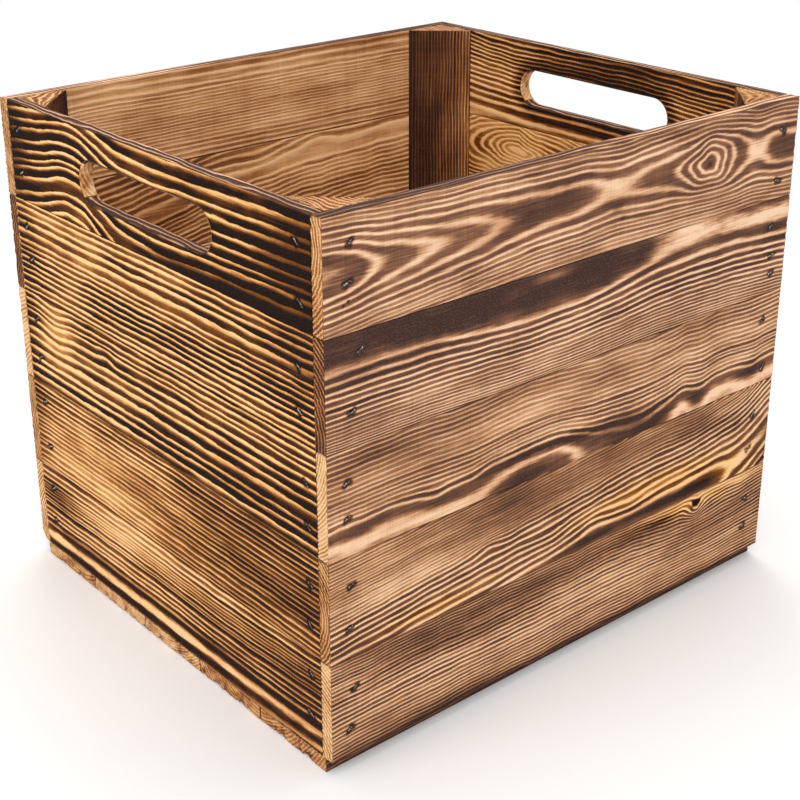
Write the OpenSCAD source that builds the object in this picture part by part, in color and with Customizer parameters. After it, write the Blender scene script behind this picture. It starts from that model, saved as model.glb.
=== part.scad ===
// Open-topped crate of flamed and brushed softwood, standing on its floor boards.
// Four walls of boards laid one above another are held by a three-cornered post in each inside
// corner and by narrow wire staples. The long walls cover the ends of the end walls, and the
// floor boards run under all four. Origin in the middle of the underside: X runs along the long
// walls, Y from front to back, Z up.

/* [Crate] */
// Length over the long walls
crate_length = 375; // [280:1:600]
// Width from the front face to the back face
crate_width = 330; // [260:1:500]
// Height from the ground to the rim
crate_height = 325; // [270:1:500]

/* [Boards] */
// Thickness of the front and back wall boards
long_wall_thickness = 9; // [7:0.5:15]
// Thickness of the left and right wall boards
end_wall_thickness = 9; // [7:0.5:15]
// Thickness of the floor boards
floor_thickness = 9; // [7:0.5:15]
// Boards above one another in each wall
wall_rows = 5; // [3:1:5]
// Boards side by side in the floor
floor_rows = 5; // [3:1:7]
// Open joint between neighbouring boards
board_gap = 0.25; // [0.1:0.05:1]
// Chamfer along a board's long edges
board_chamfer = 0.8; // [0.2:0.1:2]
// Setback of the floor behind the front face
floor_front_setback = 6; // [0:0.5:8]
// Setback of the floor behind the back face
floor_back_setback = 8; // [0:0.5:8]

/* [Hand holes] */
// Length of a hand hole over its round ends
grip_length = 137; // [90:1:180]
// Height of a hand hole
grip_height = 26; // [20:0.5:32]
// Wood left between the rim and a hand hole
grip_below_rim = 19.5; // [12:0.5:20]
// Chamfer round both mouths of a hand hole
grip_chamfer = 1.2; // [0.4:0.1:3]

/* [Corner posts] */
// Leg of a post's three-cornered section, along each wall
post_leg = 33; // [28:0.5:50]
// Flat left on a post's two thin edges
post_nose = 0.8; // [0.3:0.1:3]

/* [Staples] */
// Width of a staple over its crown
staple_crown = 6; // [4:0.5:8]
// Thickness of the staple wire
staple_wire = 1.1; // [0.7:0.1:1.4]
// Length of a staple's legs
staple_leg = 14; // [11:1:20]
// Depth of a crown below the face of its board
staple_sink = 0.4; // [0.1:0.1:1]
// Clearance between the wire and its hole
staple_fit = 0.05; // [0.02:0.01:0.15]
// Distance of the floor's staples from the long edges of their board
floor_staple_inset = 13; // [9:0.5:20]

/* [Hidden] */
// Boards, posts and staples by the names of their places; row 1 is the top row, and floor
// board 1 is the front one.

// Staples of one wall end, seen from outside, row by row from the rim. Each is the room left
// beside its crown towards the corner, the distance of its middle from the board's upper edge, or
// from its lower edge where negative, and the lean of its crown in degrees. Driven by hand, so
// uneven.
long_wall_left_staples = [
    [[4.5, 16.5, 50], [3, -26.5, 20]],
    [[10.5, 11, 35], [5.5, -20, 20]],
    [[2, 19, 20], [0.5, -22.5, 20]],
    [[2, 18, 15], [1, -19, 25]],
    [[4, 20, 30], [2, -18.5, 35]]
];
long_wall_right_staples = [
    [[2.5, 19, -35], [2.5, -11.5, -15]],
    [[4.5, 17.5, 25], [2.5, -25.5, 10], [2, -13, 10]],
    [[5, 18, 30], [0.5, -10.5, 50]],
    [[5.5, 21.5, 60], [7.5, -16.5, 25]],
    [[5.5, 21.5, -20], [6, -20, 30]]
];
end_wall_left_staples = [
    [[3, 17.5, 35], [3.5, -18, 30]],
    [[3, 17.5, 40], [6, -24, 30]],
    [[5, 17, 30], [5.5, -19, 25]],
    [[5, 13.5, 25], [7, -17, 20]],
    [[5, 15.5, 35], [4.5, -23, 30]]
];
end_wall_right_staples = [
    [[4, 17, -40], [2, -14.5, -40]],
    [[4, 21, -45], [4, -17, -30]],
    [[0.5, 22.5, -45], [0, -15.5, -40]],
    [[0, 19, -35], [0, -18, -55]],
    [[0.5, 13, -45], [2, -23.5, -30]]
];

// Turn of each wall about the upright axis, from the front wall's place
front_turn = 0;
right_turn = 90;
back_turn = 180;
left_turn = 270;

wall_board_height = (crate_height - floor_thickness - (wall_rows - 1) * board_gap) / wall_rows;
floor_board_width = (crate_width - floor_front_setback - floor_back_setback
    - (floor_rows - 1) * board_gap) / floor_rows;
end_board_length = crate_width - 2 * long_wall_thickness;
grip_middle = crate_height - grip_below_rim - grip_height / 2;
// A long wall's staples go in beside the end wall, and an end wall's pass clear of their tips.
long_wall_staple_start = end_wall_thickness;
end_wall_staple_start = max(long_wall_thickness, staple_sink + staple_leg);
staple_tip_bevel = staple_wire;
overcut = 1;
round_segments = 96;

front_colours = ["#b98f66", "#8f6c4c", "#ad835c", "#b58d5c", "#8e6d4e"];
end_colours = ["#8a6434", "#a9793d", "#9a6c34", "#b98a4c", "#7d5a33"];
floor_colours = ["#a3783f", "#8f6837", "#b08448", "#96703d", "#a87d44"];
post_colour = "#4a3322";
staple_colour = "#b4b0a6";

// Colour of a row, taken in turn where there are more rows than colours
function row_colour(colours, row) = colours[(row - 1) % len(colours)];

// Height of a wall row's upper edge
function row_top(row) = crate_height - (row - 1) * (wall_board_height + board_gap);

// Place along Y of a floor board's front edge
function floor_board_front(row) = -crate_width / 2 + floor_front_setback
    + (row - 1) * (floor_board_width + board_gap);

// Height of a staple given its distance from the row's upper edge, or lower edge if negative
function staple_height(row, distance) =
    distance > 0 ? row_top(row) - distance : row_top(row) - wall_board_height - distance;

// Stands what is drawn at the front of the crate, outer face on Y = 0, at the wall with this turn
module at_wall(turn) {
    outer_face = turn % 180 == 0 ? crate_width / 2 : crate_length / 2;
    rotate([0, 0, turn])
        translate([0, -outer_face, 0])
            children();
}

// Straight board along X, its lower front edge on the axis, with its four long edges eased
module board(length, thickness, width) {
    c = board_chamfer;
    rotate([90, 0, 90])
        linear_extrude(height = length, center = true)
            polygon([
                [c, 0], [thickness - c, 0], [thickness, c], [thickness, width - c],
                [thickness - c, width], [c, width], [0, width - c], [0, c]
            ]);
}

// Board of one wall row, still at the front of the crate
module wall_board(row, length, thickness) {
    translate([0, 0, row_top(row) - wall_board_height])
        board(length, thickness, wall_board_height);
}

// Staple seen along its wire's flat, crown on the X axis and legs along +Y. As a hole it is
// grown by fit all round and opened to the face of the board.
module staple_outline(fit = 0, mouth = 0) {
    outside = staple_crown / 2 + fit;
    inside = staple_crown / 2 - staple_wire - fit;
    crown_back = staple_wire + fit;
    tip = staple_leg + fit;
    polygon([
        [-outside, -mouth], [outside, -mouth], [outside, tip - staple_tip_bevel], [inside, tip],
        [inside, crown_back], [-inside, crown_back], [-inside, tip], [-outside, tip - staple_tip_bevel]
    ]);
}

// Bent wire staple, crown level and legs along +Y
module staple() {
    linear_extrude(height = staple_wire, center = true)
        staple_outline();
}

// Hole that a staple leaves, open at the face that it went in by
module staple_hole() {
    linear_extrude(height = staple_wire + 2 * staple_fit, center = true)
        staple_outline(staple_fit, staple_sink + overcut);
}

// Puts a staple or its hole at the places of one wall end: side is -1 for the left end and 1 for
// the right, and start is how far from the corner the room for staples begins
module at_staples(places, row, side, half_length, start) {
    for (place = places[(row - 1) % len(places)]) {
        from_corner = start + place[0] + staple_crown / 2;
        translate([side * (half_length - from_corner), staple_sink, staple_height(row, place[1])])
            rotate([0, -place[2], 0])
                children();
    }
}

// Staples or holes of a long wall's row, at one or both ends
module at_long_wall_staples(row, sides = [-1, 1]) {
    for (side = sides)
        at_staples(side < 0 ? long_wall_left_staples : long_wall_right_staples,
            row, side, crate_length / 2, long_wall_staple_start)
            children();
}

// Staples or holes of an end wall's row, at one or both ends
module at_end_wall_staples(row, sides = [-1, 1]) {
    for (side = sides)
        at_staples(side < 0 ? end_wall_left_staples : end_wall_right_staples,
            row, side, crate_width / 2, end_wall_staple_start)
            children();
}

// Staples or holes of a floor board, driven up into the middle of the end walls' lower edges
module at_floor_staples(row) {
    for (side = [-1, 1], from_front = [floor_staple_inset, floor_board_width - floor_staple_inset])
        translate([side * (crate_length - end_wall_thickness) / 2, floor_board_front(row) + from_front,
            staple_sink])
            rotate([90, 0, 90])
                children();
}

// Slot with half-round ends, through what stands on Y = 0 with the given thickness, flared at
// both faces to leave an eased edge for the hand
module hand_hole(thickness) {
    r = grip_height / 2;
    reach = grip_length / 2 - r;
    flare = grip_chamfer + overcut;
    translate([0, 0, grip_middle]) {
        translate([-reach, -overcut, -r])
            cube([2 * reach, thickness + 2 * overcut, grip_height]);
        for (side = [-1, 1])
            translate([side * reach, -overcut, 0])
                rotate([-90, 0, 0])
                    cylinder(h = thickness + 2 * overcut, r = r, $fn = round_segments);
        for (face = [0, 1])
            translate([0, face * thickness, 0])
                mirror([0, face, 0])
                    translate([0, -overcut, 0]) {
                        for (side = [-1, 1])
                            translate([side * reach, 0, 0])
                                rotate([-90, 0, 0])
                                    cylinder(h = flare, r1 = r + flare, r2 = r, $fn = round_segments);
                        rotate([90, 0, 90])
                            linear_extrude(height = 2 * reach, center = true)
                                polygon([[0, -r - flare], [flare, -r], [flare, r], [0, r + flare]]);
                    }
    }
}

// Board of the front or back wall
module long_wall_board(row, turn) {
    color(row_colour(front_colours, row))
        at_wall(turn)
            difference() {
                wall_board(row, crate_length, long_wall_thickness);
                at_long_wall_staples(row) staple_hole();
            }
}

// Board of the left or right wall; the top one has the hand hole, and the lowest one takes the
// tips of the floor's staples
module end_wall_board(row, turn) {
    color(row_colour(end_colours, row))
        difference() {
            at_wall(turn)
                difference() {
                    wall_board(row, end_board_length, end_wall_thickness);
                    at_end_wall_staples(row) staple_hole();
                    if (row == 1)
                        hand_hole(end_wall_thickness);
                }
            if (row == wall_rows)
                for (floor_row = [1 : floor_rows])
                    at_floor_staples(floor_row) staple_hole();
        }
}

// Board of the floor
module floor_board(row) {
    color(row_colour(floor_colours, row))
        difference() {
            translate([0, floor_board_front(row), 0])
                board_flat(crate_length, floor_thickness, floor_board_width);
            at_floor_staples(row) staple_hole();
        }
}

// Board lying on the ground along X, its front edge on the axis
module board_flat(length, thickness, width) {
    translate([0, 0, thickness])
        rotate([-90, 0, 0])
            board(length, thickness, width);
}

// Three-cornered post in the inside corner at these signs of X and Y, flush with the rim
module corner_post(x_side, y_side) {
    color(post_colour)
        difference() {
            translate([x_side * (crate_length / 2 - end_wall_thickness),
                y_side * (crate_width / 2 - long_wall_thickness), floor_thickness])
                mirror([x_side > 0 ? 1 : 0, 0, 0])
                    mirror([0, y_side > 0 ? 1 : 0, 0])
                        linear_extrude(height = crate_height - floor_thickness)
                            polygon([
                                [0, 0], [post_leg, 0], [post_leg, post_nose], [post_nose, post_leg],
                                [0, post_leg]
                            ]);
            for (row = [1 : wall_rows]) {
                at_wall(y_side < 0 ? front_turn : back_turn)
                    at_long_wall_staples(row, [-x_side * y_side]) staple_hole();
                at_wall(x_side < 0 ? left_turn : right_turn)
                    at_end_wall_staples(row, [x_side * y_side]) staple_hole();
            }
        }
}

// All staples of the front or back wall
module long_wall_staples(turn) {
    color(staple_colour)
        at_wall(turn)
            for (row = [1 : wall_rows])
                at_long_wall_staples(row) staple();
}

// All staples of the left or right wall
module end_wall_staples(turn) {
    color(staple_colour)
        at_wall(turn)
            for (row = [1 : wall_rows])
                at_end_wall_staples(row) staple();
}

// All staples of the floor
module floor_staples() {
    color(staple_colour)
        for (row = [1 : floor_rows])
            at_floor_staples(row) staple();
}

for (row = [1 : wall_rows]) {
    long_wall_board(row, front_turn);
    long_wall_board(row, back_turn);
    end_wall_board(row, left_turn);
    end_wall_board(row, right_turn);
}
for (row = [1 : floor_rows]) {
    floor_board(row);
}
corner_post(-1, -1);  // corner_post_front_left
corner_post(1, -1);  // corner_post_front_right
corner_post(-1, 1);  // corner_post_back_left
corner_post(1, 1);  // corner_post_back_right
long_wall_staples(front_turn);  // front_staples
long_wall_staples(back_turn);  // back_staples
end_wall_staples(left_turn);  // left_staples
end_wall_staples(right_turn);  // right_staples
floor_staples();
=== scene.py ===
# Open crate of flamed and brushed softwood boards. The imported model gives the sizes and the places;
# this script gives each board its burnt grain, worn edges, sawn ends and staple pits.
from math import radians, tau

import bpy
import numpy as np
from mathutils import Matrix, Vector


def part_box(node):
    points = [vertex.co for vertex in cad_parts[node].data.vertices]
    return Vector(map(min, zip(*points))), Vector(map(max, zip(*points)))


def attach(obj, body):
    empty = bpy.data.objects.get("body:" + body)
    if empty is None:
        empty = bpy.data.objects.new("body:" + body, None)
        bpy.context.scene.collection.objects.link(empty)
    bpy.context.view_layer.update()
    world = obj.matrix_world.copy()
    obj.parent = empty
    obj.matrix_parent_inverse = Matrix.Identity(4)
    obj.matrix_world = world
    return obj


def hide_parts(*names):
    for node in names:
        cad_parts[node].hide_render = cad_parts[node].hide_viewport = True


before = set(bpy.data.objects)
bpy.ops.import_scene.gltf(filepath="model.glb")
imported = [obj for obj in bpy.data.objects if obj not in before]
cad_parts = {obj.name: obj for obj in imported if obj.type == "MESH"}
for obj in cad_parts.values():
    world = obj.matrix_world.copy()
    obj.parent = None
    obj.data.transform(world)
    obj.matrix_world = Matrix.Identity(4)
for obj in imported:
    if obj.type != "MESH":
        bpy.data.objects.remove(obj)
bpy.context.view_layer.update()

mm = .001
boardHigh = 63    # mm, the wall board that the grain is drawn for


# Small helpers

def linear(hexColour):
    # sRGB hex colour to the linear values that the shader takes
    part = np.array([int(hexColour[i:i + 2], 16) for i in (1, 3, 5)]) / 255
    return (*np.where(part <= .04045, part / 12.92, ((part + .055) / 1.055)**2.4), 1)


def emptyTree(owner):
    # the node tree of a material or a world, without the nodes that it comes with
    owner.use_nodes = True
    owner.node_tree.nodes.clear()
    return owner.node_tree


def addNode(tree, kind, settings=None, **links):
    # one node: settings are its own properties, or socket values by name or number; links are
    # sockets of earlier nodes, by the input's name with _ for a space, or i0, i1 for its number
    node = tree.nodes.new(kind)
    for name, value in (settings or {}).items():
        if isinstance(name, int) or name in node.inputs:
            node.inputs[name].default_value = value
        else:
            setattr(node, name, value)
    for name, source in links.items():
        numbered = name[0] == "i" and name[1:].isdigit()
        socket = node.inputs[int(name[1:]) if numbered else name.replace("_", " ")]
        tree.links.new(socket, source)
    return node


def colourRamp(tree, factor, stops):
    # stops are (place, hex colour)
    node = addNode(tree, "ShaderNodeValToRGB", i0=factor)
    ramp = node.color_ramp
    while len(ramp.elements) < len(stops):
        ramp.elements.new(.5)
    for element, (place, colour) in zip(ramp.elements, stops):
        element.position, element.color = place, linear(colour)
    return node.outputs[0]


def through(points, x):
    # smooth curve through given (place, value) pairs: cubic between two pairs, with slopes from
    # their neighbours, and straight on past both ends
    px, py = np.array(points, float).T
    step = np.diff(px)
    secant = np.diff(py) / step
    inner = (secant[1:] * step[:-1] + secant[:-1] * step[1:]) / (step[1:] + step[:-1])
    slope = np.concatenate([secant[:1], inner, secant[-1:]])
    k = np.clip(np.searchsorted(px, x) - 1, 0, len(px) - 2)
    t = np.clip((x - px[k]) / step[k], 0, 1)
    curve = ((2 * t**3 - 3 * t**2 + 1) * py[k] + (t**3 - 2 * t**2 + t) * step[k] * slope[k]
             + (3 * t**2 - 2 * t**3) * py[k + 1] + (t**3 - t**2) * step[k] * slope[k + 1])
    return curve + np.minimum(x - px[0], 0) * slope[0] + np.maximum(x - px[-1], 0) * slope[-1]


def hills(bumps, u, v):
    # sum of smooth hills, each (along, down, half length, half height, rise)
    total = 0 * u
    for along, down, long, high, rise in bumps:
        total = total + rise * np.exp(-((u - along) / long)**2 - ((v - down) / high)**2)
    return total


waverSines = ((170, 1), (83, .8), (41, .5), (23, .3), (11, .14))    # length in mm and size of each
waverPeak = 1.6                                                     # about what they add up to


def waver(u, v, seed):
    # slow unevenness between about -1 and 1: sines along the board, each faded in and out across it
    r = np.random.default_rng(seed)
    total = 0 * u
    for length, size in waverSines:
        a, b, lean, high = r.uniform(0, tau, 2).tolist() + [r.uniform(-.12, .12), r.uniform(14, 40)]
        total = total + size * np.sin(tau * u / length + a + v * lean) * np.cos(v / high + b)
    return total / waverPeak


def smooth(low, high, x):
    # 0 up to low, 1 from high, and 3t^2 - 2t^3 between
    t = np.clip((x - low) / (high - low), 0, 1)
    return t * t * (3 - 2 * t)


# Grain

def litLines(places, width, r):
    # ring count for light lines at these places, all as wide below their sharp upper edge however far
    # apart they lie
    places = np.array(places, float)
    step = np.diff(places)
    share = np.minimum(width / step, .5)
    above = places[1:] - .3 * share * step
    points = np.stack([places[:-1], places[:-1] + share * step, above], -1).ravel()
    counts = (np.arange(len(step))[:, None] + [0, .5, .8]).ravel()
    return np.interp(r, points, counts)


knotSwings = ((2, .12, .6), (3, .2, 2.2), (5, .17, .5))    # waves in a turn, size, start


def countRings(grain, u, v, w):
    # Growth rings counted out from the heart of the log, a whole number on each light line. The heart
    # line runs at a height and a depth that change along the board, and the count follows
    # r = sqrt(across^2 + depth^2). A knot takes count * exp(-d^2) away around its own centre, where d
    # swings with the angle so that its loops aren't round.
    if grain.get("flip"):
        v = boardHigh - v
    v = v + hills(grain.get("bends", ()), u, v) + grain.get("sway", .5) * waver(u, v, grain["seed"])
    if "heart" in grain:
        across = v - through(grain["heart"], u)
        r = np.sqrt(across**2 + (through(grain["depth"], u) + w * grain.get("turn", 1))**2)
    else:
        r = v + w * grain.get("turn", .7)
        if "drift" in grain:
            r = r - through(grain["drift"], u) * (1 + (v - 30) * grain.get("tilt", 0))
    if "lines" in grain:
        ring = litLines(grain["lines"], grain["line"], r)
    else:
        ring = through(grain["rings"], r)
    for along, down, long, high, count in grain.get("knots", ()):
        x, y = (u - along) / long, (v - down) / high
        angle, swing = np.arctan2(y, x), 1
        for waves, size, start in knotSwings:
            swing = swing + size * np.sin(waves * angle + start)
        ring = ring - count * np.exp(-(x**2 + y**2) * swing)
    return ring


def darkShare(ring, skew):
    # 0 on a light line and 1 in the middle of the dark band, whose place is skew
    part = ring - np.floor(ring)
    return smooth(.12, .8, np.minimum(part / skew, (1 - part) / (1 - skew)))


def endRings(seed, v, w):
    # ring count on a sawn end, round a heart of the log that lies outside the board
    heartV, heartW, step = -25 + seed * 43 % 110, -34 - seed * 7 % 26, 1.9 + seed % 3 * .35
    return np.hypot(v - heartV, w - heartW) / step


# Charred wood: the colours run from bare wood to char

# pink char, partly painted light: its greyer colours paint the glare on the front and back walls, and
# the edges and the hand hole's long sides take them for painted sheen
pinkBurnAndSheen = [(0, "#f4cfac"), (.2, "#dbaa84"), (.42, "#b0805c"), (.6, "#855b43"), (.8, "#604234"),
            (1, "#3f2c26")]
goldBurn = [(0, "#f8ca8c"), (.2, "#e2a964"), (.42, "#a96d35"), (.6, "#794719"), (.78, "#573011"),
            (.9, "#3b1f0d"), (1, "#170c08")]
sawnEnd = [(0, "#f0cb9e"), (.3, "#d5a268"), (.6, "#a4663b"), (.8, "#704329"), (1, "#3a231a")]
ashColour = "#8d7264"

# each noise: mm that its spots measure along, across and through the board, detail, seed
flameNoises = {
    "fibre": ((26, .55, 1.2), 3, 3),      # streaks of the brush and of the fibres
    "ragged": ((7, .9, 1.5), 2, 11),      # ragged edge of each band
    "patch": ((55, 16, 20), 3, 23),       # uneven flame
    "fleck": ((5, .5, .8), 1, 37),        # fine roughness
    "planed": ((1.1, 60, 20), 1, 43),     # faint marks of the saw across the board
    "slow": ((34, 7, 9), 2, 51),          # rings that lie closer and wider
    "streak": ((95, 1.1, 2.5), 2, 67),    # long uneven streaks of the flame
    "ash": ((1.3, .8, 1), 2, 59),         # pale specks that the brush leaves in the char
}
flame = {
    "ragged": .2, "slow": .45,            # of a ring, what these noises move a band by
    "band": (.04, .74),                   # share of half a band where it darkens
    "ringLength": 38,                     # mm along which a ring burns much the same
    "ringSpread": 1.5,                    # how much more and less it burns
    "patch": .6, "fibre": .55, "streak": .45, "planed": .14,    # each noise's share in the burn
    "goldStreak": .25,                    # what the golden boards' streaks lose of theirs
    "ash": (.48, .74, .3),                # noise where the specks start and end, and their strength
    "groove": .3, "scratch": .12,         # mm, depth of the brushed-out char and of the scratches
    "roughness": (.52, .7),               # of bare wood and of char
}


def flamedWood(name, sheen):
    # Softwood burnt with a flame and brushed: the soft part of each ring chars and is brushed out, the
    # hard line stays light and stands proud. Reads the board's own attributes: ring (the ring count),
    # finish (burn, gold, contrast), band (place of the dark in a ring, sawn end, board's number) and
    # grainSpace (mm along, across and through the board).
    material = bpy.data.materials.new(name)
    tree = emptyTree(material)

    def calc(operation, a, b=None, clamp=False):
        # one step of arithmetic on numbers and sockets
        values, sockets = {"operation": operation, "use_clamp": clamp}, {}
        for number, part in enumerate((a, b)):
            if isinstance(part, (int, float)):
                values[number] = part
            elif part is not None:
                sockets[f"i{number}"] = part
        return addNode(tree, "ShaderNodeMath", values, **sockets).outputs[0]

    def swing(source, share):
        # a noise, brought to half its share down and up
        return calc("MULTIPLY", calc("SUBTRACT", source, .5), share)

    ring, finish, band, space = (
        addNode(tree, "ShaderNodeAttribute", {"attribute_name": attribute}).outputs
        for attribute in ("ring", "finish", "band", "grainSpace"))
    burn, gold, contrast = addNode(tree, "ShaderNodeSeparateXYZ", Vector=finish["Vector"]).outputs
    skew, sawn, number = addNode(tree, "ShaderNodeSeparateXYZ", Vector=band["Vector"]).outputs
    along = addNode(tree, "ShaderNodeSeparateXYZ", Vector=space["Vector"]).outputs[0]
    noise = {}
    for key, (stretch, detail, seed) in flameNoises.items():
        place = {"Scale": tuple(1 / s for s in stretch), "Location": (seed, seed * 1.7, seed * .6)}
        scaled = addNode(tree, "ShaderNodeMapping", place, Vector=space["Vector"])
        fine = {"Scale": 1, "Detail": detail, "Roughness": .6}
        noise[key] = addNode(tree, "ShaderNodeTexNoise", fine, Vector=scaled.outputs[0]).outputs[0]

    count = calc("ADD", ring["Fac"], swing(noise["ragged"], flame["ragged"]))
    count = calc("ADD", count, swing(noise["slow"], flame["slow"]))
    whole, part = calc("FLOOR", count), calc("FRACT", count)
    rise = calc("DIVIDE", part, skew)
    fall = calc("DIVIDE", calc("SUBTRACT", 1, part), calc("SUBTRACT", 1, skew))
    start, full = flame["band"]
    darkens = {"interpolation_type": "SMOOTHSTEP", "From Min": start, "From Max": full}
    depth = addNode(tree, "ShaderNodeMapRange", darkens, Value=calc("MINIMUM", rise, fall)).outputs[0]

    # each ring takes the flame in its own way, and more and less along its length
    own = addNode(tree, "ShaderNodeTexWhiteNoise", {"noise_dimensions": "1D"},
                  W=calc("ADD", whole, calc("MULTIPLY", number, 31.7))).outputs["Value"]
    alongRing = addNode(tree, "ShaderNodeCombineXYZ", i0=calc("DIVIDE", along, flame["ringLength"]),
                        i1=calc("MULTIPLY", whole, 3.7), i2=number)
    fickle = addNode(tree, "ShaderNodeTexNoise", {"Scale": 1, "Detail": 2}, Vector=alongRing.outputs[0])
    own = calc("ADD", own, swing(fickle.outputs[0], flame["ringSpread"]))

    # value = burn + contrast * (depth * (own / 2 + .72) - .5) + noises: 0 is bare wood, 1 is char
    shaped = calc("SUBTRACT", calc("MULTIPLY", depth, calc("ADD", calc("MULTIPLY", own, .5), .72)), .5)
    value = calc("ADD", burn, calc("MULTIPLY", contrast, shaped))
    value = calc("ADD", value, swing(noise["patch"], flame["patch"]))
    value = calc("ADD", value, swing(noise["fibre"], flame["fibre"]))
    streakShare = calc("SUBTRACT", flame["streak"], calc("MULTIPLY", gold, flame["goldStreak"]))
    value = calc("ADD", value, swing(noise["streak"], streakShare))
    value = calc("ADD", value, swing(noise["planed"], flame["planed"]), clamp=True)

    burnt = addNode(tree, "ShaderNodeMix", {"data_type": "RGBA"}, i0=gold,
                    i6=colourRamp(tree, value, pinkBurnAndSheen), i7=colourRamp(tree, value, goldBurn))
    colour = addNode(tree, "ShaderNodeMix", {"data_type": "RGBA"}, i0=sawn,
                     i6=burnt.outputs[2], i7=colourRamp(tree, value, sawnEnd))
    # the ash shows in the pink char alone
    start, full, strength = flame["ash"]
    specked = {"From Min": start, "From Max": full, "To Max": strength}
    specks = addNode(tree, "ShaderNodeMapRange", specked, Value=noise["ash"])
    pinkChar = calc("SUBTRACT", value, calc("MULTIPLY", gold, .75), clamp=True)
    ashShare = calc("MULTIPLY", calc("MULTIPLY", specks.outputs[0], value), pinkChar)
    colour = addNode(tree, "ShaderNodeMix", {"data_type": "RGBA", 7: linear(ashColour)}, i0=ashShare,
                     i6=colour.outputs[2])

    # the char is brushed out, and the fibres leave fine scratches
    deep = {"Strength": 1, "Distance": flame["groove"] * mm, "invert": True}
    groove = addNode(tree, "ShaderNodeBump", deep, Height=depth)
    scratch = addNode(tree, "ShaderNodeBump", {"Strength": .55, "Distance": flame["scratch"] * mm},
                      Height=calc("ADD", noise["fibre"], noise["fleck"]), Normal=groove.outputs[0])
    smoothest, roughest = flame["roughness"]
    roughness = addNode(tree, "ShaderNodeMapRange", {"To Min": smoothest, "To Max": roughest},
                        Value=calc("ADD", value, calc("MULTIPLY", noise["fleck"], .3)))
    shader = addNode(tree, "ShaderNodeBsdfPrincipled", {"IOR": 1.45, "Specular IOR Level": sheen},
                     Base_Color=colour.outputs[2], Roughness=roughness.outputs[0],
                     Normal=scratch.outputs[0])
    addNode(tree, "ShaderNodeOutputMaterial", Surface=shader.outputs[0])
    return material


wood = flamedWood("flamed and brushed spruce", .04)   # matt char, a soft sheen on the hard lines


# Surfaces

arris = np.array([0, .12, .4])    # mm, steps of the rounding at a board's end


def addPiece(name, points, quads, values, material, node):
    # closed mesh from whole arrays: points in millimetres, quads turned so that they face outwards
    a, b, c, d = points[quads].transpose(1, 0, 2)
    if np.einsum("ij,ij->", a + b + c + d, np.cross(c - a, d - b)) < 0:
        quads = quads[:, ::-1]
    mesh = bpy.data.meshes.new(name)
    mesh.vertices.add(len(points))
    mesh.vertices.foreach_set("co", (points * mm).astype(np.float32).ravel())
    mesh.loops.add(quads.size)
    mesh.loops.foreach_set("vertex_index", quads.astype(np.int32).ravel())
    mesh.polygons.add(len(quads))
    mesh.polygons.foreach_set("loop_start", np.arange(0, quads.size, 4, dtype=np.int32))
    mesh.polygons.foreach_set("use_smooth", np.ones(len(quads), bool))
    for key, data in values.items():
        kind, field = ("FLOAT", "value") if data.ndim == 1 else ("FLOAT_VECTOR", "vector")
        stored = mesh.attributes.new(key, kind, "POINT")
        stored.data.foreach_set(field, data.astype(np.float32).ravel())
    mesh.update(calc_edges=True)
    mesh.materials.append(material)
    piece = bpy.data.objects.new(name, mesh)
    bpy.context.scene.collection.objects.link(piece)
    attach(piece, "root")
    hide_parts(node)


def gridQuads(index, closed=False):
    # the quads of a grid of point numbers; closed joins its last column to its first
    if closed:
        index = np.concatenate([index, index[:, :1]], 1)
    return np.stack([index[:-1, :-1], index[1:, :-1], index[1:, 1:], index[:-1, 1:]], -1).reshape(-1, 4)


def stations(length, fine, step, coarse):
    # places along a board: the rounding and fine steps at both ends, coarser ones between
    half = np.concatenate([arris, np.arange(1, fine, step)])
    middle = np.linspace(fine, length - fine, max(2, int(round((length - 2 * fine) / coarse)) + 1))
    return np.concatenate([half, middle, length - half[::-1]])


def boardEdge(thick, bend, steps=4):
    # the narrow edge from the outer face to the inner one, for a board of this thickness: places
    # through it, how far it draws in at its two rounded corners, and which way it faces
    turn = np.linspace(0, tau / 4, steps + 1)[1:]
    deep = np.concatenate([bend * (1 - np.cos(turn)), np.linspace(bend, thick - bend, 4)[1:-1],
                           thick - bend * (1 - np.cos(turn[::-1]))])
    drawn = np.concatenate([bend * (1 - np.sin(turn)), [0, 0], bend * (1 - np.sin(turn[::-1]))])
    facing = np.concatenate([np.cos(turn), [0, 0], -np.cos(turn[::-1])])
    return deep, drawn, facing


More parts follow.
